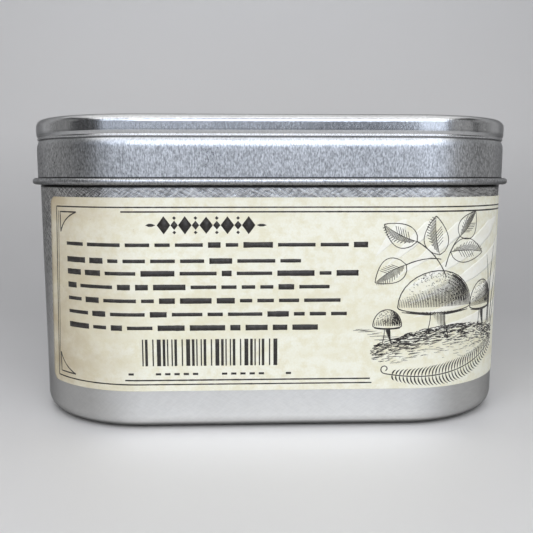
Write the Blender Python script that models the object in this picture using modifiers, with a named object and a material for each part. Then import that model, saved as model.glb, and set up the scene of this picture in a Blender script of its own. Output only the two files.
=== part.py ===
"""Oblong slip-lid tin: a deep-drawn can body, a drawn lid with a curled edge, and a wrap-round paper label.

Metres, +Z up. The tin stands closed on its base, with the origin in the middle of the base. +X runs along
the tin's length and -Y is its front face.

Both metal pieces follow one plan, a rectangle with round corners. Their sections are written as points
(offset, height): offset is measured outwards from the can body's outer wall, height from the base.
"""

import math

import bmesh
import bpy
from mathutils import Vector

MM = 0.001

# Plan of the can body, over its outer wall
BODY_LENGTH = 117.0 * MM
BODY_DEPTH = 84.0 * MM
CORNER_RADIUS = 27.8 * MM
CORNER_STEPS = 12

# Sheet metal and paper
SHEET = 0.25 * MM
PAPER = 0.12 * MM
LABEL_GAP = 0.3 * MM

# Can body
BASE_EDGE_RADIUS = 3.0 * MM
BODY_HEIGHT = 65.4 * MM
RIM_ROLL_RADIUS = 0.75 * MM
RIM_ROLL_END = 250

# Lid
LID_TOP = 71.6 * MM
LID_CLEARANCE = 0.3 * MM
SKIRT = LID_CLEARANCE + SHEET
LID_EDGE_RADIUS = 1.9 * MM
LEDGE_WIDTH = 3.2 * MM
PANEL_STEP_WIDTH = 1.0 * MM
PANEL_RECESS = 0.8 * MM
BAND_BOTTOM = 68.1 * MM
BAND_LOWER_RADIUS = 1.0 * MM
BAND_LOWER_TURN = 66
GROOVE_HEIGHT = 66.45 * MM
GROOVE_DEPTH = 0.7 * MM
SHOULDER_RADIUS = 1.6 * MM
SHOULDER_TURN = 51
SHOULDER_BOTTOM = 64.5 * MM
HEM_HEIGHT = 56.85 * MM
HEM_RADIUS = 0.8 * MM
HEM_INNER_RADIUS = HEM_RADIUS - SHEET
HEM_END = 475

# Label, which leaves the middle of the tin's left end bare
LABEL_BOTTOM = 9.3 * MM
LABEL_TOP = 53.3 * MM
LABEL_CORNER_RADIUS = 2.4 * MM
LABEL_END_STEPS = 7

# Centre of the round corner in the quarter with x > 0 and y > 0
CORNER_X = BODY_LENGTH / 2 - CORNER_RADIUS
CORNER_Y = BODY_DEPTH / 2 - CORNER_RADIUS
STEP_ANGLE = math.radians(90) / CORNER_STEPS

MERGE = 1e-6
UP = (0, 0, 1)


def clear_scene():
    """Removes whatever the scene holds."""
    for old in list(bpy.data.objects):
        bpy.data.objects.remove(old, do_unlink=True)


def finish(name, colour, roughness, metallic):
    """A Principled material of one colour."""
    material = bpy.data.materials.new(name)
    material.use_nodes = True
    shader = material.node_tree.nodes["Principled BSDF"]
    shader.inputs["Base Color"].default_value = (*colour, 1)
    shader.inputs["Roughness"].default_value = roughness
    shader.inputs["Metallic"].default_value = metallic
    return material


def arc(offset, height, radius, start, end, segments):
    """Section points along an arc about (offset, height), its angles in degrees from straight outwards."""
    angles = [math.radians(start + (end - start) * i / segments) for i in range(segments + 1)]
    return [(offset + radius * math.cos(a), height + radius * math.sin(a)) for a in angles]


def body_section():
    """The can body's outer face, from the middle of its flat base out and up to the rolled-in rim."""
    return [
        (-CORNER_RADIUS, 0),
        *arc(-BASE_EDGE_RADIUS, BASE_EDGE_RADIUS, BASE_EDGE_RADIUS, -90, 0, 5),
        *arc(-RIM_ROLL_RADIUS, BODY_HEIGHT - RIM_ROLL_RADIUS, RIM_ROLL_RADIUS, 0, RIM_ROLL_END, 6),
    ]


def lid_section():
    """The lid's outer face, from the middle of its top out and down to the curled-out hem."""
    ledge_outer = SKIRT - LID_EDGE_RADIUS
    ledge_inner = ledge_outer - LEDGE_WIDTH
    panel_height = LID_TOP - PANEL_RECESS
    return [
        (-CORNER_RADIUS, panel_height),
        (ledge_inner - PANEL_STEP_WIDTH, panel_height),
        (ledge_inner, LID_TOP),
        *arc(ledge_outer, LID_TOP - LID_EDGE_RADIUS, LID_EDGE_RADIUS, 90, 0, 4),
        *arc(SKIRT - BAND_LOWER_RADIUS, BAND_BOTTOM, BAND_LOWER_RADIUS, 0, -BAND_LOWER_TURN, 2),
        (SKIRT - GROOVE_DEPTH, GROOVE_HEIGHT),
        *arc(SKIRT - SHOULDER_RADIUS, SHOULDER_BOTTOM, SHOULDER_RADIUS, SHOULDER_TURN, 0, 3),
        *arc(SKIRT + HEM_INNER_RADIUS, HEM_HEIGHT, HEM_INNER_RADIUS, 180, HEM_END, 8),
    ]


def extrude(mesh, edges, move):
    """Extrudes edges by a vector and returns the new edges."""
    made = bmesh.ops.extrude_edge_only(mesh, edges=edges)["geom"]
    points = [g for g in made if isinstance(g, bmesh.types.BMVert)]
    bmesh.ops.translate(mesh, verts=points, vec=move)
    return [g for g in made if isinstance(g, bmesh.types.BMEdge) and set(g.verts) <= set(points)]


def spin(mesh, edges, centre, angle, steps):
    """Turns edges about an upright axis at centre and returns the last ones."""
    points = list({v for e in edges for v in e.verts})
    turned = bmesh.ops.spin(mesh, geom=points + edges, cent=centre, axis=UP, angle=angle, steps=steps)
    return [g for g in turned["geom_last"] if isinstance(g, bmesh.types.BMEdge)]


def finish_sheet(mesh, name, thickness, mirror_axes, material):
    """Makes an object of an open sheet: mirrored, thickened inwards, shaded smooth and dressed."""
    bmesh.ops.remove_doubles(mesh, verts=mesh.verts, dist=MERGE)
    bmesh.ops.recalc_face_normals(mesh, faces=mesh.faces)
    data = bpy.data.meshes.new(name)
    mesh.to_mesh(data)
    mesh.free()
    data.shade_smooth()
    data.set_sharp_from_angle(angle=math.radians(35))
    data.materials.append(material)
    sheet = bpy.data.objects.new(name, data)

    mirror = sheet.modifiers.new("mirror", "MIRROR")
    mirror.use_axis = mirror_axes
    mirror.merge_threshold = MERGE
    wall = sheet.modifiers.new("sheet", "SOLIDIFY")
    wall.thickness = thickness
    wall.offset = -1
    wall.use_even_offset = True
    return sheet


def drawn_shell(name, section, material):
    """A drawn sheet-metal shell with a closed panel: its section carried round the tin's plan.

    A quarter is made, one corner and half of each side next to it, and mirrored over X and Y.
    """
    mesh = bmesh.new()
    corner = Vector((CORNER_X, CORNER_Y, 0))
    points = [mesh.verts.new(corner + Vector((CORNER_RADIUS + out, 0, up))) for out, up in section]
    end_side = [mesh.edges.new(pair) for pair in zip(points, points[1:])]
    long_side = spin(mesh, end_side, corner, math.radians(90), CORNER_STEPS)
    extrude(mesh, end_side, (0, -CORNER_Y, 0))
    extrude(mesh, long_side, (-CORNER_X, 0, 0))

    bmesh.ops.remove_doubles(mesh, verts=mesh.verts, dist=MERGE)
    panel_edge = [e for e in mesh.edges if runs_along_corner_line(e)]
    extrude(mesh, panel_edge, (0, -CORNER_Y, 0))
    return finish_sheet(mesh, name, SHEET, (True, True, False), material)


def runs_along_corner_line(edge):
    """Whether an open edge of the panel runs from the corner's centre to the middle of the long side."""
    on_line = all(abs(v.co.y - CORNER_Y) < MERGE and v.co.x < CORNER_X + MERGE for v in edge.verts)
    return on_line and len(edge.link_faces) == 1


def wrap_label(material):
    """The paper label: half of it, from the middle of the right end round the front, mirrored to the back."""
    mesh = bmesh.new()
    out = BODY_LENGTH / 2 + LABEL_GAP + PAPER
    low, high = (mesh.verts.new((out, 0, z)) for z in (LABEL_BOTTOM, LABEL_TOP))
    start = [mesh.edges.new((low, high))]
    right_corner, left_corner = (Vector((x, -CORNER_Y, 0)) for x in (CORNER_X, -CORNER_X))
    side = extrude(mesh, start, (0, -CORNER_Y, 0))
    front = spin(mesh, side, right_corner, math.radians(-90), CORNER_STEPS)
    far_front = extrude(mesh, front, (-2 * CORNER_X, 0, 0))
    end = spin(mesh, far_front, left_corner, -STEP_ANGLE * LABEL_END_STEPS, LABEL_END_STEPS)
    bmesh.ops.remove_doubles(mesh, verts=mesh.verts, dist=MERGE)
    end_points = [v for v in mesh.verts if any((v.co - w.co).length < MERGE for e in end for w in e.verts)]
    bmesh.ops.bevel(
        mesh, geom=end_points, offset=LABEL_CORNER_RADIUS, segments=4, profile=0.5, affect="VERTICES"
    )
    return finish_sheet(mesh, "label", PAPER, (False, True, False), material)


def main():
    """Builds the tin's three pieces in one collection."""
    clear_scene()
    tin = bpy.data.collections.new("slip_lid_tin")
    bpy.context.scene.collection.children.link(tin)
    tinplate = finish("brushed_tinplate", (0.62, 0.62, 0.64), 0.32, 1.0)
    paper = finish("cream_paper", (0.80, 0.78, 0.64), 0.65, 0.0)
    for piece in (
        drawn_shell("can_body", body_section(), tinplate),
        drawn_shell("lid", lid_section(), tinplate),
        wrap_label(paper),
    ):
        tin.objects.link(piece)


main()
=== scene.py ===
"""Looks of the oblong slip-lid tin: brushed tinplate body and lid, and a printed wrap-round paper label.

Millimetres are used for the sizes inside the classes and become metres when a mesh is made. Every piece
follows the tin's plan, a rectangle with round corners. A place on the side of the tin is given by its run,
the distance along the body's wall from the middle of the front, positive towards +X, and its height.
"""

import logging
import math
import random
from dataclasses import dataclass, field
from enum import Enum
from typing import Sequence

import bmesh
import bpy
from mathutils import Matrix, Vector, noise


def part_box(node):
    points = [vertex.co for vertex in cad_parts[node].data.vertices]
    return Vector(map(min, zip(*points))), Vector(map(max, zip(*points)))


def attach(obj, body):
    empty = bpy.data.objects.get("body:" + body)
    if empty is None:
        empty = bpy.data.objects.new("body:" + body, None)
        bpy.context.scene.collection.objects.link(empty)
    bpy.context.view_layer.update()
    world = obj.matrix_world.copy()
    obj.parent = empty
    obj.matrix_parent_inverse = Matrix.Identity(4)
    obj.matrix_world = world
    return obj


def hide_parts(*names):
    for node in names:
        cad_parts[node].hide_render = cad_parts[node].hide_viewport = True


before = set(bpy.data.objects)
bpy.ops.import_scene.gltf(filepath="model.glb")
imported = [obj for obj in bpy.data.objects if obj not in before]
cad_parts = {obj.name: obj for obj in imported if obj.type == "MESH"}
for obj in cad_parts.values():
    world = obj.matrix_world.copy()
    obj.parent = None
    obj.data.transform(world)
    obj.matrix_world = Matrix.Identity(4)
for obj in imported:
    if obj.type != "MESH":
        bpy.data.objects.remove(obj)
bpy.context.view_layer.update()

MM = 0.001
ROOT = "root"
LOG = logging.getLogger("tin")

Point = tuple[float, float]

# The tin's own sizes that are not read from the model, in millimetres
CORNER_RADIUS = 27.8
LID_TOP_GAP = 0.15
HEM_LIFT = 0.17


# ---------------------------------------------------------------------------------------------------------
# Shape: the tin's plan, the sections bent from sheet, and the meshes that follow both


@dataclass(frozen=True)
class Plan:
    """The body's outline seen from above, a rectangle with round corners, over the outer wall."""

    half_length: float
    half_depth: float
    corner_radius: float

    @property
    def corner_x(self) -> float:
        """Distance of a corner's centre from the middle, along X."""
        return self.half_length - self.corner_radius

    @property
    def corner_y(self) -> float:
        """Distance of a corner's centre from the middle, along Y."""
        return self.half_depth - self.corner_radius

    @property
    def corner_run(self) -> float:
        """Length of the wall round one corner."""
        return self.corner_radius * math.pi / 2

    @property
    def perimeter(self) -> float:
        """Length of the wall all the way round."""
        return 4 * (self.corner_x + self.corner_y + self.corner_run)

    def stretches(self) -> list[tuple[str, float]]:
        """The wall's straight and round stretches, in order from the middle of the front.

        Returns:
            Pairs of kind, "straight" or "corner", and length.
        """
        corner = ("corner", self.corner_run)
        half = ("straight", self.corner_x)
        end = ("straight", 2 * self.corner_y)
        side = ("straight", 2 * self.corner_x)
        return [half, corner, end, corner, side, corner, end, corner, half]

    def at(self, run: float) -> tuple[Vector, Vector]:
        """Finds a place on the wall.

        Args:
            run: distance along the wall from the middle of the front, in millimetres.

        Returns:
            The point on the wall and the outward normal there, both seen from above.
        """
        left = run % self.perimeter
        point, heading = Vector((0.0, -self.half_depth)), 0.0
        for kind, length in self.stretches():
            step = min(left, length)
            forward = Vector((math.cos(heading), math.sin(heading)))
            if kind == "straight":
                point = point + forward * step
            else:
                centre = point + Vector((-forward.y, forward.x)) * self.corner_radius
                heading += step / self.corner_radius
                point = centre + Vector((math.sin(heading), -math.cos(heading))) * self.corner_radius
            left -= step
            if left <= 0:
                break
        return point, Vector((math.sin(heading), -math.cos(heading)))

    def place(self, run: float, offset: float, height: float) -> Vector:
        """Finds a place on or off the wall.

        Args:
            run: distance along the wall from the middle of the front, in millimetres.
            offset: distance outwards from the wall, in millimetres.
            height: height over the base, in millimetres.

        Returns:
            The point in metres.
        """
        point, normal = self.at(run)
        point = point + normal * offset
        return Vector((point.x, point.y, height)) * MM

    def stations(self, corner_steps: int, straight_step: float) -> list[float]:
        """Runs at which a loft has its sections.

        Args:
            corner_steps: faces round each corner.
            straight_step: longest face along a straight stretch, in millimetres.

        Returns:
            The runs once round, starting in the middle of the front.
        """
        runs, start = [], 0.0
        for kind, length in self.stretches():
            steps = corner_steps if kind == "corner" else math.ceil(length / straight_step)
            runs += [start + length * i / steps for i in range(steps)]
            start += length
        return runs


class Outer(Enum):
    """The side of a section's path that its outer face is on."""

    LEFT = 90
    RIGHT = -90


@dataclass
class Section:
    """A sheet's section from the middle panel to its raw edge, bent along the path of its outer face.

    Every stretch carries on smoothly from the last. Headings are in degrees: 0 outwards, 90 up.
    """

    offset: float
    height: float
    heading: float
    outer: Outer
    points: list[tuple[Vector, Vector]] = field(default_factory=list)

    def __post_init__(self) -> None:
        """Marks the first point."""
        self._mark()

    def _mark(self) -> None:
        """Adds the present place and the outer face's normal there."""
        angle = math.radians(self.heading + self.outer.value)
        self.points.append((Vector((self.offset, self.height)), Vector((math.cos(angle), math.sin(angle)))))

    def straight(self, length: float, steps: int = 1) -> "Section":
        """Goes straight on.

        Args:
            length: distance in millimetres.
            steps: number of faces.

        Returns:
            The section itself.
        """
        angle = math.radians(self.heading)
        for _ in range(steps):
            self.offset += math.cos(angle) * length / steps
            self.height += math.sin(angle) * length / steps
            self._mark()
        return self

    def bend(self, radius: float, degrees: float, steps: int = 8) -> "Section":
        """Goes round a bend of the outer face.

        Args:
            radius: radius in millimetres.
            degrees: turn, positive to the left.
            steps: number of faces.

        Returns:
            The section itself.
        """
        side = math.copysign(90, degrees)
        to_centre = math.radians(self.heading + side)
        centre = Vector((
            self.offset + radius * math.cos(to_centre),
            self.height + radius * math.sin(to_centre),
        ))
        for _ in range(steps):
            self.heading += degrees / steps
            from_centre = math.radians(self.heading - side)
            self.offset = centre.x + radius * math.cos(from_centre)
            self.height = centre.y + radius * math.sin(from_centre)
            self._mark()
        return self

    def sheet(self, thickness: float) -> list[Vector]:
        """Outlines the sheet: along its inner face, round its raw edge and back along its outer face.

        Args:
            thickness: the sheet's thickness in millimetres.

        Returns:
            Points of (offset, height), from the inner panel's edge to the outer panel's edge.
        """
        inner = [point - normal * thickness for point, normal in self.points]
        return inner + [point for point, _ in reversed(self.points)]


@dataclass(frozen=True)
class Ripple:
    """How far the drawn sheet strays from flat: long, low waves. Sizes are in millimetres."""

    depth: float
    length: float
    seed: float

    def at(self, point: Vector) -> float:
        """Outward shift in millimetres at a point given in metres."""
        return self.depth * noise.noise(point / (self.length * MM) + Vector((self.seed, 0, 0)))


def new_object(name: str, mesh: bmesh.types.BMesh, sharp_angle: float = 40) -> bpy.types.Object:
    """Makes a smooth-shaded object of a bmesh and frees the bmesh.

    Args:
        name: name of the piece.
        mesh: its faces, in metres.
        sharp_angle: edges that turn more than this stay sharp, in degrees.

    Returns:
        The object, linked to the scene.
    """
    data = bpy.data.meshes.new(name)
    mesh.to_mesh(data)
    mesh.free()
    data.shade_smooth()
    data.set_sharp_from_angle(angle=math.radians(sharp_angle))
    made = bpy.data.objects.new(name, data)
    bpy.context.scene.collection.objects.link(made)
    return made


def loft(
    name: str,
    plan: Plan,
    outline: Sequence[Vector],
    runs: Sequence[float],
    ripple: Ripple,
) -> bpy.types.Object:
    """Carries a sheet's outline round the plan and closes the two panels at its ends.

    Args:
        name: name of the piece.
        plan: the tin's plan.
        outline: points of (offset, height), from the inner panel's edge to the outer panel's edge.
        runs: where along the wall the outline stands.
        ripple: waviness of the sheet.

    Returns:
        The closed piece.
    """
    mesh = bmesh.new()
    rings = []
    for offset, height in outline:
        ring = []
        for run in runs:
            flat = plan.place(run, offset, height)
            ring.append(mesh.verts.new(plan.place(run, offset + ripple.at(flat), height)))
        rings.append(ring)
    for lower, upper in zip(rings, rings[1:]):
        for i in range(len(runs)):
            j = (i + 1) % len(runs)
            mesh.faces.new((lower[i], lower[j], upper[j], upper[i]))
    mesh.faces.new(rings[0])
    mesh.faces.new(rings[-1])
    bmesh.ops.recalc_face_normals(mesh, faces=mesh.faces)
    return new_object(name, mesh)


# ---------------------------------------------------------------------------------------------------------
# Finishes


Socket = bpy.types.NodeSocket
Value = Socket | float | tuple[float, ...]


class Nodes:
    """A material's shader, put together node by node."""

    def __init__(self, name: str) -> None:
        """Starts a material with its Principled shader.

        Args:
            name: name of the material.
        """
        self.material = bpy.data.materials.new(name)
        self.material.use_nodes = True
        self.tree = self.material.node_tree
        self.shader = self.tree.nodes["Principled BSDF"]
        self.place = self.tree.nodes.new("ShaderNodeTexCoord").outputs["Object"]

    def link(self, source: Value, target: Socket) -> None:
        """Feeds a socket from another socket, or sets it to a plain value.

        Args:
            source: the socket or the value.
            target: the socket that is fed.
        """
        if isinstance(source, Socket):
            self.tree.links.new(source, target)
        else:
            target.default_value = source

    def grain(
        self,
        scale: tuple[float, float, float],
        detail: float = 2,
        turn: float = 0,
        rough: float = 0.5,
    ) -> Socket:
        """Noise stretched along chosen axes.

        Args:
            scale: features per metre along X, Y and Z.
            detail: octaves of the noise.
            turn: lean of the grain away from upright, in degrees.
            rough: share of each octave in the next.

        Returns:
            The noise's value, about 0.5 on average.
        """
        leaning = self.place
        if turn:
            rotate = self.tree.nodes.new("ShaderNodeVectorRotate")
            rotate.rotation_type = "EULER_XYZ"
            rotate.inputs["Rotation"].default_value = (math.radians(turn), math.radians(turn), 0)
            self.link(leaning, rotate.inputs["Vector"])
            leaning = rotate.outputs["Vector"]
        stretch = self.tree.nodes.new("ShaderNodeVectorMath")
        stretch.operation = "MULTIPLY"
        self.link(leaning, stretch.inputs[0])
        stretch.inputs[1].default_value = scale
        texture = self.tree.nodes.new("ShaderNodeTexNoise")
        texture.inputs["Scale"].default_value = 1.0
        texture.inputs["Detail"].default_value = detail
        texture.inputs["Roughness"].default_value = rough
        self.link(stretch.outputs["Vector"], texture.inputs["Vector"])
        return texture.outputs["Fac"]

    def spread(
        self,
        value: Value,
        low: float,
        high: float,
        to_low: float = 0.0,
        to_high: float = 1.0,
    ) -> Socket:
        """Stretches a value's range, and clamps it.

        Args:
            value: the value to stretch.
            low: the value that becomes to_low.
            high: the value that becomes to_high.
            to_low: result at low.
            to_high: result at high.

        Returns:
            The stretched value.
        """
        node = self.tree.nodes.new("ShaderNodeMapRange")
        self.link(value, node.inputs["Value"])
        names = ("From Min", "From Max", "To Min", "To Max")
        for name, amount in zip(names, (low, high, to_low, to_high)):
            node.inputs[name].default_value = amount
        return node.outputs["Result"]

    def sum(self, first: Value, second: Value, operation: str = "ADD") -> Socket:
        """Adds or otherwise combines two values.

        Args:
            first: the first value.
            second: the second value.
            operation: name of the arithmetic operation.

        Returns:
            The result.
        """
        node = self.tree.nodes.new("ShaderNodeMath")
        node.operation = operation
        self.link(first, node.inputs[0])
        self.link(second, node.inputs[1])
        return node.outputs["Value"]

    def blend(self, share: Value, first: Value, second: Value) -> Socket:
        """Mixes two colours.

        Args:
            share: 0 for the first colour, 1 for the second.
            first: the first colour.
            second: the second colour.

        Returns:
            The mixed colour.
        """
        node = self.tree.nodes.new("ShaderNodeMix")
        node.data_type = "RGBA"
        for source, target in ((share, 0), (first, 6), (second, 7)):
            self.link(source, node.inputs[target])
        return node.outputs[2]

    def axis(self, index: int) -> Socket:
        """One coordinate of the place on the tin, in metres.

        Args:
            index: 0, 1 or 2 for X, Y or Z.

        Returns:
            The coordinate.
        """
        split = self.tree.nodes.new("ShaderNodeSeparateXYZ")
        self.link(self.place, split.inputs[0])
        return split.outputs[index]

    def near(self, height: float, reach: float, core: float = 0.45) -> Socket:
        """How close a place is to a height.

        Args:
            height: the height in millimetres.
            reach: the distance in millimetres at which the closeness has faded out.
            core: share of the reach within which it is full.

        Returns:
            1 at the height, 0 beyond the reach.
        """
        away = self.sum(self.sum(self.axis(2), height * MM, "SUBTRACT"), 0.0, "ABSOLUTE")
        return self.spread(away, reach * core * MM, reach * MM, 1.0, 0.0)

    def bump(self, height: Value, depth: float) -> None:
        """Raises the surface.

        Args:
            height: how far up it goes, as a share of the depth.
            depth: the relief in millimetres.
        """
        node = self.tree.nodes.new("ShaderNodeBump")
        node.inputs["Distance"].default_value = depth * MM
        self.link(height, node.inputs["Height"])
        self.link(node.outputs["Normal"], self.shader.inputs["Normal"])


class Grain(Enum):
    """Which way the rolling and drawing marks of a sheet run."""

    UPRIGHT = "upright"
    CROSSED = "crossed"


@dataclass(frozen=True)
class ShadeLine:
    """A dark line of painted shade all round the tin at one height. Sizes are in millimetres."""

    height: float
    reach: float
    share: float


@dataclass(frozen=True)
class Fade:
    """A share that changes evenly from one height to another. Heights are in millimetres."""

    low: float
    high: float
    at_low: float
    at_high: float

    def over(self, nodes: Nodes) -> Socket:
        """The share at each place on the tin."""
        return nodes.spread(nodes.axis(2), self.low * MM, self.high * MM, self.at_low, self.at_high)


@dataclass(frozen=True)
class Tinplate:
    """Bare drawn tinplate: a fine grain, faint clouding, and painted shade in dark lines and at the foot of
    its ends.
    """

    name: str
    grain: Grain
    colour: tuple[float, float, float]
    roughness: Fade
    relief: float
    contrast: float
    strength: Fade
    # Painted shade: dark lines at set heights, and darker metal at the foot of the two ends.
    shade_lines: tuple[ShadeLine, ...] = ()
    end_shade_share: float = 0.0
    end_shade_start: float = 31
    end_shade_full: float = 43
    end_shade_below: float = 9
    end_shade_top: float = 16
    edge_tint: float = 0.42
    # Share of the colour left in the grain's hollows and in painted shade.
    hollow_and_shade_share: float = 0.03
    cloud_share: float = 0.94

    def make(self) -> bpy.types.Material:
        """Builds the material.

        Returns:
            The material.
        """
        nodes = Nodes(self.name)
        nodes.shader.inputs["Metallic"].default_value = 1.0
        nodes.shader.inputs["Specular Tint"].default_value = (*(self.edge_tint,) * 3, 1.0)
        streaks, flecks = self.marks(nodes)
        marks = nodes.sum(nodes.sum(streaks, flecks), self.strength.over(nodes), "MULTIPLY")
        nodes.bump(marks, self.relief)

        cloud = nodes.grain((60, 60, 45), detail=3, rough=0.6)
        full = (*self.colour, 1.0)
        # Dark tone for the grain's hollows and for painted shade.
        dark = (*(c * self.hollow_and_shade_share for c in self.colour), 1.0)
        dim = (*(c * self.cloud_share for c in self.colour), 1.0)
        clouded = nodes.blend(nodes.spread(cloud, 0.3, 0.7), dim, full)
        hollows = nodes.spread(nodes.sum(streaks, flecks), 0.78, 1.22, self.contrast, 0.0)
        grained = nodes.sum(hollows, self.strength.over(nodes), "MULTIPLY")
        tone = nodes.blend(grained, clouded, dark)
        # Painted shade: dark lines round the tin at set heights.
        for shade_line in self.shade_lines:
            shade = nodes.sum(nodes.near(shade_line.height, shade_line.reach), shade_line.share, "MULTIPLY")
            tone = nodes.blend(shade, tone, dark)
        # Painted shade: darker metal near the foot at the two ends.
        if self.end_shade_share:
            tone = nodes.blend(self.end_shade(nodes), tone, dark)
        nodes.link(tone, nodes.shader.inputs["Base Color"])
        uneven = nodes.spread(nodes.sum(cloud, flecks), 0.6, 1.4, -0.04, 0.05)
        rough = nodes.sum(self.roughness.over(nodes), uneven)
        nodes.link(rough, nodes.shader.inputs["Roughness"])
        return nodes.material

    def end_shade(self, nodes: Nodes) -> Socket:
        """Painted shade: how far the metal is darkened near the foot at the tin's two ends.

        Args:
            nodes: the shader under construction.

        Returns:
            The share, 0 where the metal is bright.
        """
        aside = nodes.sum(nodes.axis(0), 0.0, "ABSOLUTE")
        ends = nodes.spread(aside, self.end_shade_start * MM, self.end_shade_full * MM, 0.0, self.end_shade_share)
        low = nodes.spread(nodes.axis(2), self.end_shade_below * MM, self.end_shade_top * MM, 1.0, 0.0)
        return nodes.sum(ends, low, "MULTIPLY")

    def marks(self, nodes: Nodes) -> tuple[Socket, Socket]:
        """The sheet's relief.

        Args:
            nodes: the shader under construction.

        Returns:
            The long marks and the fine flecks.
        """
        if self.grain is Grain.UPRIGHT:
            return (
                nodes.grain((3600, 3600, 900), detail=2, rough=0.6),
                nodes.grain((3300, 3300, 1700), detail=2),
            )
        return (
            nodes.grain((460, 460, 2300), detail=2, turn=30, rough=0.6),
            nodes.grain((460, 460, 2300), detail=2, turn=-26, rough=0.6),
        )


@dataclass(frozen=True)
class LabelPaper:
    """Cream uncoated paper, mottled as if old, browner towards the end of the label at the left."""

    name: str
    cream: tuple[float, float, float] = (0.885, 0.89, 0.79)
    tan: tuple[float, float, float] = (0.78, 0.75, 0.57)
    brown: tuple[float, float, float] = (0.42, 0.33, 0.20)

    def make(self, brown_edge: float) -> bpy.types.Material:
        """Builds the material.

        Args:
            brown_edge: X of the label's left end in metres.

        Returns:
            The material.
        """
        nodes = Nodes(self.name)
        shader = nodes.shader
        blotch = nodes.grain((70, 70, 95), detail=5, rough=0.62)
        wave = nodes.grain((16, 16, 230), detail=3, turn=3, rough=0.5)
        fibre = nodes.grain((2500, 2500, 2100), detail=3, rough=0.6)
        speck = nodes.grain((900, 900, 900), detail=2)
        foxing = nodes.grain((420, 420, 500), detail=3, rough=0.65)
        cloudy = nodes.sum(nodes.spread(blotch, 0.50, 0.72, 0, 0.45), nodes.spread(wave, 0.48, 0.66, 0, 0.6))
        paper = nodes.blend(cloudy, (*self.cream, 1.0), (*self.tan, 1.0))
        mottle = nodes.sum(nodes.spread(fibre, 0.35, 0.7, 0, 0.34), nodes.spread(foxing, 0.44, 0.64, 0, 0.62))
        mottled = nodes.blend(mottle, paper, (*self.tan, 1.0))
        near_end = nodes.spread(nodes.axis(0), brown_edge, brown_edge + 25 * MM, 0.80, 0.0)
        browning = nodes.sum(near_end, nodes.spread(blotch, 0.3, 0.7, 0.5, 1.3), "MULTIPLY")
        aged = nodes.blend(browning, mottled, (*self.brown, 1.0))
        spotted = nodes.blend(nodes.spread(speck, 0.74, 0.8, 0, 0.5), aged, (*self.brown, 1.0))
        nodes.link(spotted, shader.inputs["Base Color"])
        nodes.link(nodes.spread(fibre, 0.3, 0.7, 0.52, 0.68), shader.inputs["Roughness"])
        nodes.bump(fibre, 0.012)
        return nodes.material


@dataclass(frozen=True)
class Ink:
    """Printing ink, a little uneven, as laid down by a worn plate."""

    name: str
    colour: tuple[float, float, float]
    worn: float = 0.35
    thin_gain: float = 3
    thin_lift: float = 0.06

    def make(self) -> bpy.types.Material:
        """Builds the material.

        Returns:
            The material.
        """
        nodes = Nodes(self.name)
        shader = nodes.shader
        patch = nodes.spread(nodes.grain((1300, 1300, 1300), detail=3), 0.5, 0.75, 0, self.worn)
        thin = tuple(min(1.0, c * self.thin_gain + self.thin_lift) for c in self.colour)
        nodes.link(nodes.blend(patch, (*self.colour, 1.0), (*thin, 1.0)), shader.inputs["Base Color"])
        nodes.link(nodes.spread(patch, 0, 1, 0.45, 0.7), shader.inputs["Roughness"])
        nodes.bump(patch, 0.004)
        return nodes.material


@dataclass(frozen=True)
class Backdrop:
    """A matt backdrop with painted shade on the floor behind the tin and a painted pool of light in front.
    Places are in metres.
    """

    name: str
    colour: tuple[float, float, float]
    roughness: float = 0.5
    # Painted shade behind the tin where the floor curves up, and a painted pool of light in front of it.
    fold_shade_share: float = 0.22
    fold_start: float = -0.03
    fold_end: float = 0.09
    fold_low: float = 0.02
    fold_high: float = 0.09
    front_light_share: float = 0.45
    front_full: float = -0.092
    front_end: float = 0.02
    front_light_colour: tuple[float, float, float] = (0.85, 0.85, 0.855)
    pale_gain: float = 1.04
    fold_shade_gain: float = 0.2

    def make(self) -> bpy.types.Material:
        """Builds the material.

        Returns:
            The material.
        """
        nodes = Nodes(self.name)
        cloud = nodes.grain((6, 6, 6), detail=2)
        gains = (self.pale_gain, self.fold_shade_gain)
        paler, darker = (tuple(min(1.0, c * gain) for c in self.colour) for gain in gains)
        plain = nodes.blend(cloud, (*self.colour, 1.0), (*paler, 1.0))
        # Painted shade on the floor behind the tin, at the foot of the sweep.
        behind = nodes.spread(nodes.axis(1), self.fold_start, self.fold_end, 0.0, self.fold_shade_share)
        below = nodes.spread(nodes.axis(2), self.fold_low, self.fold_high, 1.0, 0.0)
        tone = nodes.blend(nodes.sum(behind, below, "MULTIPLY"), plain, (*darker, 1.0))
        # Painted light: a paler pool on the floor in front of the tin.
        front = nodes.spread(nodes.axis(1), self.front_full, self.front_end, self.front_light_share, 0.0)
        tone = nodes.blend(front, tone, (*self.front_light_colour, 1.0))
        nodes.link(tone, nodes.shader.inputs["Base Color"])
        nodes.shader.inputs["Roughness"].default_value = self.roughness
        return nodes.material


def dress(piece: bpy.types.Object, material: bpy.types.Material) -> bpy.types.Object:
    """Gives a piece its finish and its place on the tin.

    Args:
        piece: the piece.
        material: its finish.

    Returns:
        The piece.
    """
    piece.data.materials.append(material)
    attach(piece, ROOT)
    LOG.info("%s: %d faces", piece.name, len(piece.data.polygons))
    return piece


# ---------------------------------------------------------------------------------------------------------
# The tin


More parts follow.
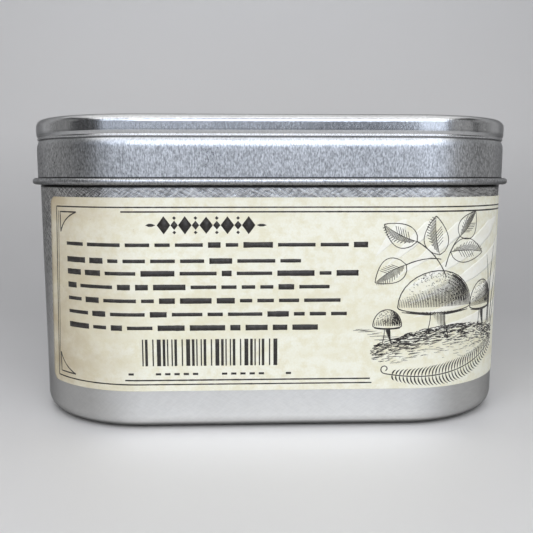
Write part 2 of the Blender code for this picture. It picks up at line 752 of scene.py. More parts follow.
@dataclass
class CanBody:
    """The deep-drawn can: flat base, rounded foot, straight wall and a rim rolled inwards."""

    plan: Plan
    height: float
    finish: Tinplate
    sheet: float = 0.25
    foot_radius: float = 3.6
    rim_radius: float = 0.75
    base_margin: float = 9.0
    ripple: Ripple = Ripple(depth=0.05, length=26, seed=3.1)

    def section(self) -> Section:
        """Bends the section from the flat base out, round the foot, up the wall and over the rim.

        Returns:
            The section.
        """
        wall = self.height - self.foot_radius - self.rim_radius
        path = Section(-self.base_margin, 0, 0, Outer.RIGHT)
        path.straight(self.base_margin - self.foot_radius, 4).bend(self.foot_radius, 90, 14)
        return path.straight(wall, 40).bend(self.rim_radius, 180, 12)

    def build(self) -> bpy.types.Object:
        """Makes the can and dresses it in place of its plain solid.

        Returns:
            The can.
        """
        runs = self.plan.stations(36, 2.2)
        piece = loft("can_body_drawn", self.plan, self.section().sheet(self.sheet), runs, self.ripple)
        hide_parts("can_body")
        return dress(piece, self.finish.make())


@dataclass
class Lid:
    """The drawn slip-on lid: pressed panel, rounded top edge, rolled groove, skirt and curled hem."""

    plan: Plan
    top: float
    hem_height: float
    finish: Tinplate
    sheet: float = 0.25
    band_offset: float = 0.52
    edge_radius: float = 1.75
    band: float = 1.70
    under_radius: float = 1.2
    under_turn: float = 40
    bead_start_radius: float = 0.12
    bead_start_turn: float = 70
    bead_start_flat: float = 0.18
    bead_radius: float = 0.22
    bead_turn: float = 80
    bead_end_flat: float = 0.26
    bead_end_radius: float = 0.14
    bead_end_turn: float = 77
    shoulder_radius: float = 4.4
    shoulder_turn: float = 22
    shoulder_end_radius: float = 9.0
    shoulder_end_turn: float = 5
    hem_radius: float = 0.54
    hem_turn: float = 296
    ledge: float = 3.4
    panel_depth: float = 0.8
    panel_margin: float = 3.0
    panel_step_radius: float = 0.9
    ripple: Ripple = Ripple(depth=0.03, length=30, seed=7.7)

    def panel(self) -> Section:
        """Bends the section from the pressed panel out to where the top edge starts to turn down.

        Returns:
            The section so far.
        """
        turn = math.degrees(math.acos(1 - self.panel_depth / (2 * self.panel_step_radius)))
        step_width = 2 * self.panel_step_radius * math.sin(math.radians(turn))
        edge_start = self.band_offset - self.edge_radius
        start = edge_start - self.ledge - step_width - self.panel_margin
        path = Section(start, self.top - self.panel_depth, 0, Outer.LEFT)
        path.straight(self.panel_margin, 3)
        path.bend(self.panel_step_radius, turn, 6).bend(self.panel_step_radius, -turn, 6)
        return path.straight(self.ledge, 4)

    def section(self) -> Section:
        """Bends the whole section: panel, top edge, band, groove with a fine bead, shoulder, skirt and hem.

        Returns:
            The section.
        """
        path = self.panel().bend(self.edge_radius, -90, 18).straight(self.band, 4)
        path.bend(self.under_radius, -self.under_turn, 8)
        path.bend(self.bead_start_radius, self.bead_start_turn, 5).straight(self.bead_start_flat, 1)
        path.bend(self.bead_radius, -self.bead_turn, 8).straight(self.bead_end_flat, 1)
        path.bend(self.bead_end_radius, self.bead_end_turn, 7)
        path.bend(self.shoulder_radius, -self.shoulder_turn, 16)
        path.bend(self.shoulder_end_radius, -self.shoulder_end_turn, 6)
        skirt = path.height - self.hem_height - self.hem_radius
        return path.straight(skirt, 14).bend(self.hem_radius, self.hem_turn, 26)

    def build(self) -> bpy.types.Object:
        """Makes the lid and dresses it in place of its plain solid.

        Returns:
            The lid.
        """
        outline = self.section().sheet(self.sheet)
        piece = loft("lid_drawn", self.plan, outline, self.plan.stations(40, 2.0), self.ripple)
        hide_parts("lid")
        return dress(piece, self.finish.make())


@dataclass
class WrapLabel:
    """The paper label: one strip round the can, its ends at the tin's left end, with rounded corners."""

    plan: Plan
    bottom: float
    top: float
    finish: LabelPaper
    left_turn_top: float = 50.5
    left_turn_bottom: float = 55.0
    corner_radius: float = 2.0
    paper: float = 0.11
    glue: float = 0.03
    wave: float = 0.02
    columns: int = 320
    corner_rows: int = 8
    middle_rows: int = 30

    @property
    def face(self) -> float:
        """Offset of the label's printed face from the can's wall."""
        return self.paper + self.glue

    def end_run(self, height: float) -> float:
        """Finds the label's left end, which leans a little, before its corners are rounded.

        Args:
            height: the height in millimetres.

        Returns:
            The end's run there.
        """
        share = (height - self.bottom) / (self.top - self.bottom)
        turn = self.left_turn_bottom + (self.left_turn_top - self.left_turn_bottom) * share
        return -self.plan.corner_x - math.radians(turn) * self.plan.corner_radius

    def left(self, height: float) -> float:
        """Finds the label's left edge, with its corners rounded.

        Args:
            height: the height in millimetres.

        Returns:
            The edge's run there.
        """
        from_edge = min(height - self.bottom, self.top - height)
        inset = 0.0
        if from_edge < self.corner_radius:
            rise = self.corner_radius - from_edge
            inset = self.corner_radius - math.sqrt(max(self.corner_radius**2 - rise**2, 0))
        return self.end_run(height) + inset

    def heights(self) -> list[float]:
        """Sets out the strip's rows of points, closer at the rounded corners.

        Returns:
            The rows' heights, from the lowest.
        """
        turns = [math.pi / 2 * i / self.corner_rows for i in range(self.corner_rows)]
        rounding = [self.corner_radius * (1 - math.cos(turn)) for turn in turns]
        inner = self.top - self.bottom - 2 * self.corner_radius
        start = self.bottom + self.corner_radius
        middle = [start + inner * i / self.middle_rows for i in range(self.middle_rows + 1)]
        return [self.bottom + r for r in rounding] + middle + [self.top - r for r in reversed(rounding)]

    def build(self) -> bpy.types.Object:
        """Makes the strip and dresses it in place of its plain solid.

        Returns:
            The strip.
        """
        mesh = bmesh.new()
        rows = []
        for height in self.heights():
            left = self.left(height)
            step = (self.mirrored(left) - left) / self.columns
            runs = [left + step * i for i in range(self.columns + 1)]
            points = [self.plan.place(run, self.lift(run, height), height) for run in runs]
            rows.append([mesh.verts.new(point) for point in points])
        for lower, upper in zip(rows, rows[1:]):
            for i in range(len(lower) - 1):
                mesh.faces.new((lower[i], lower[i + 1], upper[i + 1], upper[i]))
        bmesh.ops.recalc_face_normals(mesh, faces=mesh.faces)
        piece = new_object("paper_label", mesh)
        thick = piece.modifiers.new("paper", "SOLIDIFY")
        thick.thickness = self.paper * MM
        thick.offset = -1
        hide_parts("label")
        edge = self.plan.place(self.end_run(self.bottom), 0, 0).x
        return dress(piece, self.finish.make(edge))

    def mirrored(self, run: float) -> float:
        """Run of the place behind the tin that mirrors one in front."""
        return self.plan.perimeter / 2 - run

    def lift(self, run: float, height: float) -> float:
        """Offset of the printed face, which rises very slightly in long soft waves."""
        return self.face + self.wave * noise.noise(Vector((run / 23, height / 17, 1.7)))


class Stroke(Enum):
    """How a printed line's width changes along it."""

    EVEN = "even"
    TAPERED = "tapered"
    LEAF = "leaf"
    LOZENGE = "lozenge"

    def share(self, along: float) -> float:
        """How wide the line is at a place along it.

        Args:
            along: the place, from 0 at its start to 1 at its end.

        Returns:
            The share of the full width.
        """
        if self is Stroke.EVEN:
            return 1.0
        if self is Stroke.TAPERED:
            return 0.15 + 0.85 * math.sin(math.pi * min(1.0, 0.25 + along * 0.75))
        if self is Stroke.LOZENGE:
            return 0.03 + 0.97 * (1 - abs(2 * along - 1))
        return math.sin(math.pi * along**0.8) ** 0.9 + 0.02


@dataclass
class Press:
    """Lays ink on the label. Drawings are made in millimetres about a spot that can be moved and scaled."""

    label: WrapLabel
    run: float = 0.0
    height: float = 0.0
    scale: float = 1.0
    lift: float = 0.014
    film: float = 0.010
    step: float = 0.9
    mesh: bmesh.types.BMesh = field(default_factory=bmesh.new)

    def move_to(self, run: float, height: float, scale: float = 1.0) -> "Press":
        """Sets where the next drawings go.

        Args:
            run: run of the drawing's origin.
            height: height of the drawing's origin.
            scale: size of the drawing.

        Returns:
            The press itself.
        """
        self.run, self.height, self.scale = run, height, scale
        return self

    def lay(self, point: Vector) -> Vector:
        """Finds a point of the drawing on the label's face.

        Args:
            point: the point in the drawing's millimetres.

        Returns:
            Its place in metres.
        """
        run = self.run + point.x * self.scale
        height = self.height + point.y * self.scale
        return self.label.plan.place(run, self.label.lift(run, height) + self.lift, height)

    def line(
        self,
        points: Sequence[Point],
        width: float,
        stroke: Stroke = Stroke.EVEN,
        wear: float = 0.12,
    ) -> None:
        """Prints a line.

        Args:
            points: the line's corners.
            width: full width in millimetres.
            stroke: how the width changes along it.
            wear: how unevenly it printed, as a share of the width.
        """
        corners = [Vector(p) for p in points]
        length = sum((b - a).length for a, b in zip(corners, corners[1:]))
        spine = []
        for a, b in zip(corners, corners[1:]):
            steps = max(1, math.ceil((b - a).length * self.scale / self.step))
            spine += [a.lerp(b, i / steps) for i in range(steps)]
        spine.append(corners[-1])
        pairs, gone = [], 0.0
        for i, point in enumerate(spine):
            before, after = spine[max(i - 1, 0)], spine[min(i + 1, len(spine) - 1)]
            gone += (point - before).length
            along = (after - before).normalized()
            aside = Vector((-along.y, along.x))
            noisy = 1 + wear * 2 * noise.noise(Vector((point.x * 0.9, point.y * 0.9, self.run)))
            half = aside * (width / 2 * stroke.share(gone / length) * noisy)
            pairs.append([self.mesh.verts.new(self.lay(point + side)) for side in (half, -half)])
        for (a, b), (c, d) in zip(pairs, pairs[1:]):
            self.mesh.faces.new((a, b, d, c))

    def curve(
        self,
        start: Point,
        pull: Point,
        end: Point,
        width: float,
        stroke: Stroke = Stroke.EVEN,
    ) -> None:
        """Prints a curve from start to end that bends towards pull."""
        self.line(bow(start, pull, end), width, stroke)

    def print_on(self, name: str, material: bpy.types.Material) -> bpy.types.Object:
        """Ends the print run.

        Args:
            name: name of the printed piece.
            material: the ink.

        Returns:
            The ink as a thin closed piece on the label.
        """
        piece = new_object(name, self.mesh)
        film = piece.modifiers.new("ink", "SOLIDIFY")
        film.thickness = self.film * MM
        film.offset = -1
        return dress(piece, material)


def bow(start: Point, pull: Point, end: Point, steps: int = 8) -> list[Point]:
    """Points along a curve from start to end that bends towards pull.

    Args:
        start: first point.
        pull: the point that the curve bends towards.
        end: last point.
        steps: number of stretches.

    Returns:
        The points, first and last included.
    """
    a, b, c = Vector(start), Vector(pull), Vector(end)
    shares = [i / steps for i in range(steps + 1)]
    return [tuple(a * (1 - t) ** 2 + b * 2 * t * (1 - t) + c * t**2) for t in shares]


@dataclass
class Border:
    """The label's frame: a double rule round its edge, with a spandrel in each corner."""

    label: WrapLabel
    margin: float = 2.15
    rule: float = 0.30
    inner_margin: float = 3.15
    inner_rule: float = 0.34
    side_margin: float = 2.9
    inner_start: float = 18.0
    break_start: float = 22.0
    break_end: float = 64.0
    bottom_rise: float = 0.6
    break_gap: float = 0.4
    end_gap: float = 0.75
    end_rule: float = 0.16
    spandrel_width: float = 5.4
    spandrel_height: float = 4.6
    spandrel_run_gap: float = 1.35
    spandrel_height_gap: float = 1.2

    def draw(self, press: Press) -> None:
        """Prints the frame.

        Args:
            press: the press.
        """
        bottom, top = self.label.bottom, self.label.top
        press.move_to(0, 0)
        low, high = bottom + self.margin - self.bottom_rise, top - self.margin
        left_low, left_high = (self.label.end_run(z) + self.side_margin for z in (low, high))
        right_low, right_high = self.label.mirrored(left_low), self.label.mirrored(left_high)
        ends = [(left_low, left_high), (right_low, right_high)]
        press.line([(ends[0][1], high), (ends[1][1], high)], self.rule)
        press.line([(ends[0][0], low), (self.break_start, low)], self.rule)
        press.line([(self.break_end, low), (ends[1][0], low)], self.rule)
        inner_low, inner_high = bottom + self.inner_margin - self.bottom_rise, top - self.inner_margin
        first = ends[0][1] + self.inner_start
        press.line([(first, inner_high), (self.label.mirrored(first), inner_high)], self.inner_rule)
        press.line([(first, inner_low), (self.break_start - self.break_gap, inner_low)], self.inner_rule)
        press.line([(self.break_end, inner_low), (self.label.mirrored(first), inner_low)], self.inner_rule)
        for k, (end_low, end_high) in enumerate(ends):
            inward = 1 if k == 0 else -1
            press.line([(end_low, low), (end_high, high)], self.rule)
            aside = self.end_gap * inward
            press.line([(end_low + aside, low + 1), (end_high + aside, high - 1)], self.end_rule)
            for end, height, up in ((end_high, high, -1), (end_low, low, 1)):
                corner_run = end + self.spandrel_run_gap * inward
                self.spandrel(press, corner_run, height + self.spandrel_height_gap * up, inward, up)

    def spandrel(self, press: Press, run: float, height: float, inward: int, up: int) -> None:
        """Prints a corner's ornament, a triangle with one hollow side.

        Args:
            press: the press.
            run: run of its square corner.
            height: height of its square corner.
            inward: 1 where the label lies towards a larger run, else -1.
            up: 1 where the label lies above, else -1.
        """
        across = (run + self.spandrel_width * inward, height)
        along = (run, height + self.spandrel_height * up)
        press.line([along, (run, height), across], 0.32)
        hollow = (run + self.spandrel_width * 0.22 * inward, height + self.spandrel_height * 0.3 * up)
        press.curve(across, hollow, along, 0.30)


@dataclass
class BlankText:
    """Where a label would have its wording: an ornament, and rows of plain dashes that say nothing."""

    label: WrapLabel
    left: float = -49.0
    rows: tuple[Point, ...] = (
        (42.8, 21.5), (39.2, 5.5), (36.4, 18.5), (33.3, 12.0), (30.2, 16.5), (27.1, 16.0), (24.0, 10.0),
    )
    seed: int = 11

    def draw(self, press: Press) -> None:
        """Prints the ornament, the dashes and the bars.

        Args:
            press: the press.
        """
        press.move_to(0, 0)
        self.ornament(press, middle=-15.6, height=47.2)
        chance = random.Random(self.seed)
        for height, right in self.rows:
            run = self.left
            while run < right - 2:
                width = min(chance.uniform(2.2, 8.5), right - run)
                bold = chance.random() < 0.4
                press.line([(run, height), (run + width, height)], 1.25 if bold else 0.8, wear=0.05)
                run += width + 1.15
        self.bars(press, left=-30.4, right=0.6, bottom=15.2, top=21.4)

    def ornament(self, press: Press, middle: float, height: float) -> None:
        """Prints a row of lozenges between two rules that taper outwards.

        Args:
            press: the press.
            middle: run of the row's middle.
            height: height of the row's middle.
        """
        for i in range(-4, 5):
            half, tall = (1.45, 4.0) if i % 2 == 0 else (0.8, 2.0)
            spot = middle + i * 2.35
            points = [(spot - half, height), (spot, height), (spot + half, height)]
            press.line(points, tall, Stroke.LOZENGE, wear=0.04)
            if i % 2:
                for side in (-1, 1):
                    dot = height + 1.6 * side
                    points = [(spot - 0.4, dot), (spot, dot), (spot + 0.4, dot)]
                    press.line(points, 0.8, Stroke.LOZENGE, wear=0)
        for side in (-1, 1):
            press.line([(middle + 11.2 * side, height), (middle + 13.4 * side, height)], 0.9, Stroke.LOZENGE)

    def bars(self, press: Press, left: float, right: float, bottom: float, top: float) -> None:
        """Prints a panel of upright bars in one repeated pattern, which stands for no number.

        Args:
            press: the press.
            left: run of the first bar.
            right: run past which no bar starts.
            bottom: height of the bars' feet.
            top: height of the bars' tops.
        """
        pattern = (0.33, 0.66, 0.33, 0.99, 0.66, 0.33)
        run, i = left, 0
        while run < right:
            width = pattern[i % len(pattern)]
            press.line([(run + width / 2, bottom), (run + width / 2, top)], width * 0.9, wear=0.02)
            run += width + pattern[(i + 2) % len(pattern)]
            i += 1
        for start in (left - 3.2, left + 3, left + 18, right + 1.6):
            count = 1 if start < left or start > right else 5
            for j in range(count):
                spot = start + j * 2.1
                press.line([(spot, bottom - 1.9), (spot + 1.2, bottom - 1.9)], 0.5, wear=0.05)


@dataclass
class WoodlandCut:
    """A small engraving like those of old nature books: toadstools on a bank, a leafy twig and a fern."""

    seed: int = 5
    hair: float = 0.13
    firm: float = 0.24
    chance: random.Random = field(init=False, repr=False)

    def __post_init__(self) -> None:
        """Seeds the unevenness of the strokes."""
        self.chance = random.Random(self.seed)

    def draw(self, press: Press) -> None:
        """Prints the engraving about its own middle.

        Args:
            press: the press.
        """
        self.bank(press)
        self.twig(press)
        self.toadstool(press, -1.4, -2.2, 19.0, 8.4, 6.6)
        self.toadstool(press, 12.6, -2.8, 9.4, 6.0, 6.0)
        self.toadstool(press, -13.2, -6.4, 6.6, 3.8, 4.0)
        self.blades(press)
        self.fern(press)

    def bank(self, press: Press) -> None:
        """Prints the bank of earth as short strokes, thickest in the shade under the toadstools.

        Args:
            press: the press.
        """
        for _ in range(900):
            run = self.chance.uniform(-17, 19)
            crest = -6.5 - 0.011 * (run - 4) ** 2
            depth = abs(self.chance.gauss(0, 2.9))
            height = crest - depth
            if height < -16.5 + 0.1 * abs(run):
                continue
            length = self.chance.uniform(0.5, 1.9)
            tilt = self.chance.uniform(-0.25, 0.25) + (run - 4) * -0.012
            shade = max(0.0, 1 - depth / 6)
            width = self.hair * (0.7 + 1.1 * shade)
            press.line([(run, height), (run + length, height + length * tilt)], width, Stroke.TAPERED)
        for i in range(26):
            run = -21 + i * 0.55
            reach = 1.6 + 2.2 * self.chance.random()
            height = -7.6 - 0.16 * i + self.chance.uniform(-0.8, 0.8)
            press.line([(run, height), (run + reach, height + 0.2)], self.hair * 0.8, Stroke.TAPERED)

    def toadstool(
        self,
        press: Press,
        run: float,
        foot: float,
        width: float,
        rise: float,
        stem: float,
    ) -> None:
        """Prints one toadstool.

        Args:
            press: the press.
            run: run of its middle.
            foot: height of its cap's brim.
            width: width of its cap.
            rise: height of its cap over the brim.
            stem: length of its stem.
        """
        half = width / 2
        dome_turns = [math.pi * i / 16 for i in range(17)]
        dome = [(run - half * math.cos(t), foot + rise * math.sin(t)) for t in dome_turns]
        press.line(dome, self.firm)
        brim_turns = [math.pi * i / 12 for i in range(13)]
        brim = [(run - half * math.cos(t), foot - rise * 0.16 * math.sin(t)) for t in brim_turns]
        press.line(brim, self.firm)
        count = round(width * 2.5)
        for i in range(1, count):
            lean = -1 + 2 * i / count
            shade = 0.5 + 0.5 * lean
            start = math.pi / 2 * (0.86 - 0.62 * shade)
            turns = [math.pi / 2 - (math.pi / 2 - start) * k / 6 for k in range(7)]
            ray = [(run + half * lean * math.sin(t), foot + rise * math.cos(t) * 0.97) for t in turns]
            press.line(ray, self.hair * (1.0 + 1.3 * shade), Stroke.TAPERED)
        for k in range(1, 9):
            inward = 1 - 0.075 * k
            first = 0.50 - 0.030 * k
            turns = [math.pi * first * (1 - i / 8) for i in range(8)]
            arc = [(run + half * inward * math.cos(t), foot + rise * inward * math.sin(t)) for t in turns]
            press.line(arc[::-1], self.hair * (1.7 - 0.08 * k), Stroke.TAPERED)
        for i in range(round(width * 16)):
            lean, up = self.chance.uniform(-0.85, 0.95), self.chance.uniform(0.08, 0.95)
            spot = (run + half * lean * math.sqrt(1 - up * up), foot + rise * up)
            press.line([spot, (spot[0] + 0.3, spot[1] - 0.1)], self.hair * 1.5, Stroke.TAPERED)
        for i in range(-9, 10):
            near = (run + half * 0.10 * i, foot - rise * 0.13)
            far = (run + half * 0.028 * i, foot - rise * 0.22)
            press.line([near, far], self.hair * 1.5, Stroke.TAPERED)
        thick = width * 0.10
        for side in (-1, 1):
            top = (run + thick * side, foot - rise * 0.14)
            waist = (run + thick * 0.8 * side, foot - stem * 0.5)
            base = (run + thick * 1.5 * side, foot - stem)
            press.curve(top, waist, base, self.firm * 0.8)
        for i in range(9):
            spot = run + thick * (0.95 - 0.2 * i)
            end = (spot + 0.15, foot - stem * (1 - 0.08 * i))
            press.line([(spot, foot - rise * 0.16), end], self.hair * (2.1 - 0.17 * i), Stroke.TAPERED)

    def leaf(self, press: Press, base: Point, tip: Point, width: float, curl: float) -> None:
        """Prints a pointed leaf with a midrib and one shaded half.

        Args:
            press: the press.
            base: where it joins the twig.
            tip: its point.
            width: its greatest width.
            curl: how far it bends aside, in millimetres.
        """
        start, end = Vector(base), Vector(tip)
        along = (end - start).normalized()
        aside = Vector((-along.y, along.x))
        middle = (start + end) / 2 + aside * curl
        rib = [Vector(p) for p in bow(base, tuple(middle), tip, 14)]
        fullness = [math.sin(math.pi * (i / 14) ** 0.75) ** 0.85 * width / 2 for i in range(15)]
        for side in (-1, 1):
            press.line([tuple(p + aside * side * w) for p, w in zip(rib, fullness)], self.firm * 0.8)
        press.line([tuple(p) for p in rib], self.hair * 1.3, Stroke.TAPERED)
        for i in range(2, 26):
            t = i / 27
            k = min(13, int(t * 14))
            near = rib[k].lerp(rib[k + 1], t * 14 - k)
            reach = fullness[k] * (0.92 if i % 2 else 0.6)
            far = near + (aside * 0.8 + along * 0.5) * reach
            press.line([tuple(near), tuple(far)], self.hair * 1.2)
        for i in range(3, 9):
            near = rib[i]
            far = near + (aside * -0.7 + along * 0.6) * fullness[i] * 0.8
            press.line([tuple(near), tuple(far)], self.hair)

    def twig(self, press: Press) -> None:
        """Prints the leafy twig that stands behind the toadstools.

        Args:
            press: the press.
        """
        press.curve((0.5, 4.6), (-1.8, 10), (-7.0, 13.0), self.firm)
        press.curve((0.2, 7.0), (1.2, 11.5), (4.0, 14.0), self.firm)
        press.curve((-1.0, 8.8), (-5.0, 9.6), (-9.4, 7.6), self.firm)
        self.leaf(press, (-6.9, 12.9), (-14.4, 16.8), 5.4, 0.9)
        self.leaf(press, (3.9, 13.8), (8.8, 19.4), 5.6, -0.9)
        self.leaf(press, (-1.4, 9.8), (-2.6, 18.6), 6.0, 0.9)
        self.leaf(press, (-9.2, 7.7), (-16.2, 3.6), 5.8, -0.9)
        self.leaf(press, (1.4, 10.4), (12.0, 9.8), 5.6, 0.9)

    def blades(self, press: Press) -> None:
        """Prints the grass at the right.

        Args:
            press: the press.
        """
        blades = (
            ((17.0, -8), (16.4, 4), (20.0, 12.5)),
            ((18.2, -8), (19.0, 1), (23.5, 8.0)),
            ((16.0, -8), (17.2, 2), (14.6, 9.0)),
            ((19.2, -9), (21.0, -3), (25.0, 2.4)),
        )
        for foot, pull, top in blades:
            press.curve(foot, pull, top, 0.5, Stroke.TAPERED)

    def fern(self, press: Press) -> None:
        """Prints the fern frond that lies along the foot of the bank.

        Args:
            press: the press.
        """
        stem = bow((-13.5, -17.6), (3, -20.6), (19.5, -12.2), 38)
        press.line(stem, self.firm)
        for i in range(2, 38):
            base = Vector(stem[i])
            along = (Vector(stem[i]) - Vector(stem[i - 1])).normalized()
            aside = Vector((-along.y, along.x))
            reach = 0.8 + 1.9 * math.sin(math.pi * i / 41) ** 0.7
            for side in (-1, 1):
                tip = base + aside * side * reach + along * reach * 0.55
                pull = base + aside * side * reach * 0.7
                press.curve(tuple(base), tuple(pull), tuple(tip), 0.34, Stroke.LEAF)
        turns = [i * 0.5 for i in range(13)]
        curl = [
            (-13.5 - 1.1 * math.sin(t) * (1 - t / 9), -16.5 - 1.1 * math.cos(t) * (1 - t / 9))
            for t in turns
        ]
        press.line(curl, self.firm)


@dataclass
class LabelPrint:
    """All that is printed on the label, in one dark ink over pale rays."""

    label: WrapLabel
    ink: Ink
    ray_paper: LabelPaper
    ray_count: int = 7
    ray_first: float = 6
    ray_step: float = 7.5
    ray_start: float = 26
    ray_shortest: float = 30
    ray_longest: float = 66.0
    ray_ceiling: float = 28.5
    ray_spread: float = 0.036
    ray_rows: int = 60
    ray_columns: int = 8

    def build(self) -> list[bpy.types.Object]:
        """Prints the rays and the ink.

        Returns:
            The printed pieces.
        """
        ink = Press(self.label)
        Border(self.label).draw(ink)
        BlankText(self.label).draw(ink)
        WoodlandCut().draw(ink.move_to(38.5, 30.5))
        back = self.label.mirrored(0)
        self.cartouche(ink, back)
        WoodlandCut(seed=8).draw(ink.move_to(back, 31.8, scale=0.78))
        rays = Press(self.label, lift=0.006)
        self.rays(rays)
        edge = self.label.plan.place(self.label.end_run(self.label.bottom), 0, 0).x
        return [
            ink.print_on("label_print", self.ink.make()),
            rays.print_on("label_rays", self.ray_paper.make(edge)),
        ]

    def cartouche(self, press: Press, middle: float) -> None:
        """Prints a plain double oval for the panel behind the tin.

        Args:
            press: the press.
            middle: run of the oval's middle.
        """
        press.move_to(middle, (self.label.bottom + self.label.top) / 2)
        for width, height, rule in ((34.0, 18.2, 0.42), (33.0, 17.2, 0.2)):
            turns = [2 * math.pi * i / 72 for i in range(73)]
            press.line([(width * math.cos(t), height * math.sin(t)) for t in turns], rule)

    def rays(self, press: Press) -> None:
        """Prints pale rays that fan out behind the engraving and taper at both ends.

        Args:
            press: the press.
        """
        press.move_to(6, 20)
        for ray in range(self.ray_count):
            angle = math.radians(self.ray_first + ray * self.ray_step)
            aim = Vector((math.cos(angle), math.sin(angle)))
            far = min(self.ray_longest, self.ray_ceiling / max(aim.y, 0.01))
            if far < self.ray_shortest:
                continue
            near, tip = aim * self.ray_start, aim * far
            spread = Vector((-aim.y, aim.x)) * self.ray_spread
            rows = []
            for k in range(self.ray_rows + 1):
                spot = near.lerp(tip, k / self.ray_rows)
                opening = 0.1 + 2.0 * k / self.ray_rows
                closing = 6.0 * (1 - k / self.ray_rows) + 0.02
                reach = spread * spot.length * min(1.0, opening, closing)
                shares = [1 - 2 * i / self.ray_columns for i in range(self.ray_columns + 1)]
                rows.append([press.mesh.verts.new(press.lay(spot + reach * share)) for share in shares])
            for upper, lower in zip(rows, rows[1:]):
                for i in range(self.ray_columns):
                    press.mesh.faces.new((upper[i], upper[i + 1], lower[i + 1], lower[i]))


# ---------------------------------------------------------------------------------------------------------
# Studio


class Reach(Enum):
    """What a soft box does: light matt surfaces, or show in shiny ones."""

    LIGHT = "light"
    MIRRORED = "mirrored"


@dataclass(frozen=True)
class SoftBox:
    """A rectangular soft box that faces the tin. Sizes are in metres."""

    name: str
    azimuth: float
    elevation: float
    distance: float
    width: float
    height: float
    radiance: float
    tint: tuple[float, float, float] = (1.0, 1.0, 1.0)
    reach: Reach = Reach.LIGHT
    target: tuple[float, float, float] | None = None

    def hang(self, middle: Vector) -> bpy.types.Object:
        """Hangs the box.

        Args:
            middle: the tin's middle, which the box faces unless it has a target of its own.

        Returns:
            The light.
        """
        centre = Vector(self.target) if self.target else middle
        turn, rise = math.radians(self.azimuth), math.radians(self.elevation)
        away = Vector((math.sin(turn) * math.cos(rise), -math.cos(turn) * math.cos(rise), math.sin(rise)))
        lamp = bpy.data.lights.new(self.name, "AREA")
        lamp.shape = "RECTANGLE"
        lamp.size, lamp.size_y = self.width, self.height
        lamp.energy = self.radiance * math.pi * self.width * self.height
        lamp.color = self.tint
        box = bpy.data.objects.new(self.name, lamp)
        box.location = centre + away * self.distance
        box.rotation_mode = "QUATERNION"
        box.rotation_quaternion = (-away).to_track_quat("-Z", "Y")
        box.visible_camera = False
        box.visible_glossy = self.reach is not Reach.LIGHT
        box.visible_diffuse = self.reach is not Reach.MIRRORED
        bpy.context.scene.collection.objects.link(box)
        return box


@dataclass(frozen=True)
class Viewpoint:
    """Where the camera stands, in half lengths of the tin's body, and how it is turned."""

    aside: float = -0.1362
    back: float = 3.2067
    up: float = 0.9838
    turn: float = 2.03
    tilt: float = -7.72
    lens: float = 44.34
    shift_x: float = 0.0048
    shift_y: float = 0.0009

    def set_up(self, half_length: float) -> bpy.types.Object:
        """Makes the scene's camera.

        Args:
            half_length: half the body's length in metres.

        Returns:
            The camera.
        """
        data = bpy.data.cameras.new("camera")
        data.lens = self.lens
        data.sensor_width = 36.0
        data.shift_x, data.shift_y = self.shift_x, self.shift_y
        data.clip_start = 0.01
        camera = bpy.data.objects.new("camera", data)
        camera.location = Vector((self.aside, -self.back, self.up)) * half_length
        turn, tilt = math.radians(self.turn), math.radians(self.tilt)
        ahead = Vector((math.sin(turn) * math.cos(tilt), math.cos(turn) * math.cos(tilt), math.sin(tilt)))
        camera.rotation_mode = "QUATERNION"
        camera.rotation_quaternion = ahead.to_track_quat("-Z", "Y")
        bpy.context.scene.collection.objects.link(camera)
        bpy.context.scene.camera = camera
        return camera


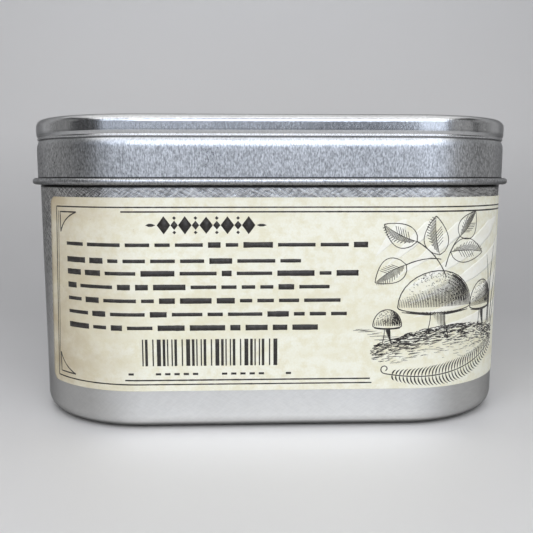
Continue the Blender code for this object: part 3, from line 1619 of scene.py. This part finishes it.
@dataclass
class Studio:
    """A pale sweep, soft boxes and a plain surround."""

    centre: Vector
    sweep_start: float = 0.13
    sweep_radius: float = 0.20
    sweep_steps: int = 24
    half_width: float = 1.6
    front: float = 2.2
    wall: float = 0.9
    floor_gap: float = 0.0001
    ambient: float = 0.22
    mirrored_ambient: float = 0.06
    floor_finish: Backdrop = Backdrop("pale_floor", (0.632, 0.632, 0.641), 0.45)

    def build(self) -> None:
        """Sets up the sweep, the lights and the surround."""
        self.sweep()
        for box in self.boxes():
            box.hang(self.centre)
        self.surround()
        bpy.context.scene.view_settings.view_transform = "Standard"

    def sweep(self) -> bpy.types.Object:
        """Makes the floor, which curves up into a wall behind the tin.

        Returns:
            The floor.
        """
        low = -self.floor_gap
        section = [(-self.front, low), (0.0, low), (self.sweep_start, low)]
        for i in range(1, self.sweep_steps + 1):
            turn = math.pi / 2 * i / self.sweep_steps
            back = self.sweep_start + self.sweep_radius * math.sin(turn)
            section.append((back, low + self.sweep_radius * (1 - math.cos(turn))))
        section.append((self.sweep_start + self.sweep_radius, self.wall))
        mesh = bmesh.new()
        rows = [[mesh.verts.new((x, y, z)) for x in (-self.half_width, self.half_width)] for y, z in section]
        for (a, b), (c, d) in zip(rows, rows[1:]):
            mesh.faces.new((a, b, d, c))
        floor = new_object("floor", mesh)
        floor.data.materials.append(self.floor_finish.make())
        return floor

    def boxes(self) -> list[SoftBox]:
        """Lists the soft boxes: some light the paper and the floor, and the rest show in the metal.

        Returns:
            The soft boxes.
        """
        cool, lit, seen = (0.86, 0.95, 1.12), Reach.LIGHT, Reach.MIRRORED
        return [
            SoftBox("key", 8, 30, 0.85, 0.60, 0.50, 2.66, reach=lit),
            SoftBox("key_left", -42, 30, 0.85, 0.40, 0.50, 1.75, reach=lit),
            SoftBox("key_right", 46, 30, 0.85, 0.40, 0.50, 0.4, reach=lit),
            SoftBox("top_front", 0, 62, 0.90, 0.90, 0.50, 1.1, reach=lit),
            SoftBox("near_top", 0, 58, 0.36, 0.40, 0.20, 0.97, reach=lit),
            SoftBox("foot_bounce", 180, 20, 0.034, 0.074, 0.010, 1.2, reach=lit, target=(0.0, -0.076, 0.0)),
            SoftBox("ceiling_front", 0, 58, 0.60, 1.10, 0.22, 1.4, reach=seen),
            SoftBox("ceiling", 0, 89, 0.60, 1.10, 0.42, 0.9, reach=seen),
            SoftBox("ceiling_back", 180, 53, 0.60, 1.20, 0.30, 0.6, reach=seen),
            SoftBox("low_left", -29, 6, 0.60, 0.29, 0.20, 0.49, cool, seen),
            SoftBox("low_near_left", -7, 6, 0.60, 0.19, 0.20, 0.42, cool, seen),
            SoftBox("low_near_right", 10, 6, 0.60, 0.17, 0.20, 0.2, cool, seen),
            SoftBox("low_right", 32, 6, 0.60, 0.28, 0.20, 1.0, cool, seen),
            SoftBox("high_left", -29, 28, 0.60, 0.29, 0.25, 1.5, cool, seen),
            SoftBox("high_middle", 1, 27, 0.60, 0.32, 0.27, 2.75, cool, seen),
            SoftBox("high_right", 32, 28, 0.60, 0.30, 0.25, 2.4, cool, seen),
            SoftBox("right_edge", 62, 14, 0.60, 0.28, 0.50, 0.25, reach=seen),
            SoftBox("left_wall", -108, 14, 0.60, 0.80, 0.50, 0.175, reach=seen),
            SoftBox("right_wall", 112, 14, 0.60, 0.70, 0.50, 0.21, reach=seen),
        ]

    def surround(self) -> None:
        """Makes a plain pale surround, dim in shiny surfaces so that the soft boxes stand out."""
        world = bpy.data.worlds.new("surround")
        world.use_nodes = True
        tree = world.node_tree
        background = tree.nodes["Background"]
        background.inputs["Color"].default_value = (0.98, 0.99, 1.02, 1)
        path = tree.nodes.new("ShaderNodeLightPath")
        dim = tree.nodes.new("ShaderNodeMapRange")
        tree.links.new(path.outputs["Is Glossy Ray"], dim.inputs["Value"])
        dim.inputs["To Min"].default_value = self.ambient
        dim.inputs["To Max"].default_value = self.mirrored_ambient
        tree.links.new(dim.outputs["Result"], background.inputs["Strength"])
        bpy.context.scene.world = world


def main() -> None:
    """Builds the tin and the studio round it."""
    logging.basicConfig(level=logging.INFO, format="%(name)s: %(message)s")
    body_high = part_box("can_body")[1]
    lid_low, lid_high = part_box("lid")
    label_low, label_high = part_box("label")
    plan = Plan(body_high.x / MM, body_high.y / MM, CORNER_RADIUS)
    hem = lid_low.z / MM
    # Painted shade: a dark line just under the lid's hem and another at the rounded foot.
    under_hem = ShadeLine(hem - 0.24, 0.62, 1.0)
    at_foot = ShadeLine(0.4, 1.5, 0.55)
    body_finish = Tinplate(
        "body_tinplate_finish",
        Grain.CROSSED,
        colour=(0.79, 0.786, 0.77),
        roughness=Fade(6, 50, 0.34, 0.26),
        relief=0.06,
        contrast=0.62,
        strength=Fade(12, 50, 0.10, 1.0),
        shade_lines=(under_hem, at_foot),
        end_shade_share=0.26,
    )
    # Painted shade: dark lines under the top band, in the groove, on the hem and just above it.
    under_band = ShadeLine(67.60, 0.80, 0.22)
    in_groove = ShadeLine(66.42, 0.24, 0.66)
    on_hem = ShadeLine(hem, 0.85, 0.52)
    over_hem = ShadeLine(57.62, 0.22, 0.84)
    lid_finish = Tinplate(
        "lid_tinplate_finish",
        Grain.UPRIGHT,
        colour=(0.79, 0.795, 0.80),
        roughness=Fade(66.2, 67.4, 0.30, 0.16),
        relief=0.030,
        contrast=0.56,
        strength=Fade(64.6, 66.3, 1.0, 0.36),
        shade_lines=(under_band, in_groove, on_hem, over_hem),
    )
    CanBody(plan, body_high.z / MM, body_finish).build()
    Lid(plan, lid_high.z / MM - LID_TOP_GAP, hem + HEM_LIFT, lid_finish).build()
    label = WrapLabel(plan, label_low.z / MM, label_high.z / MM, LabelPaper("label_paper_finish"))
    label.build()
    ray_paper = LabelPaper("label_ray_finish", cream=(0.925, 0.93, 0.87), tan=(0.87, 0.86, 0.76))
    LabelPrint(label, Ink("label_ink", (0.020, 0.017, 0.015)), ray_paper).build()
    Viewpoint().set_up(body_high.x)
    Studio(Vector((0, 0, (body_high.z + lid_high.z) / 4))).build()


if __name__ == "__main__":
    main()
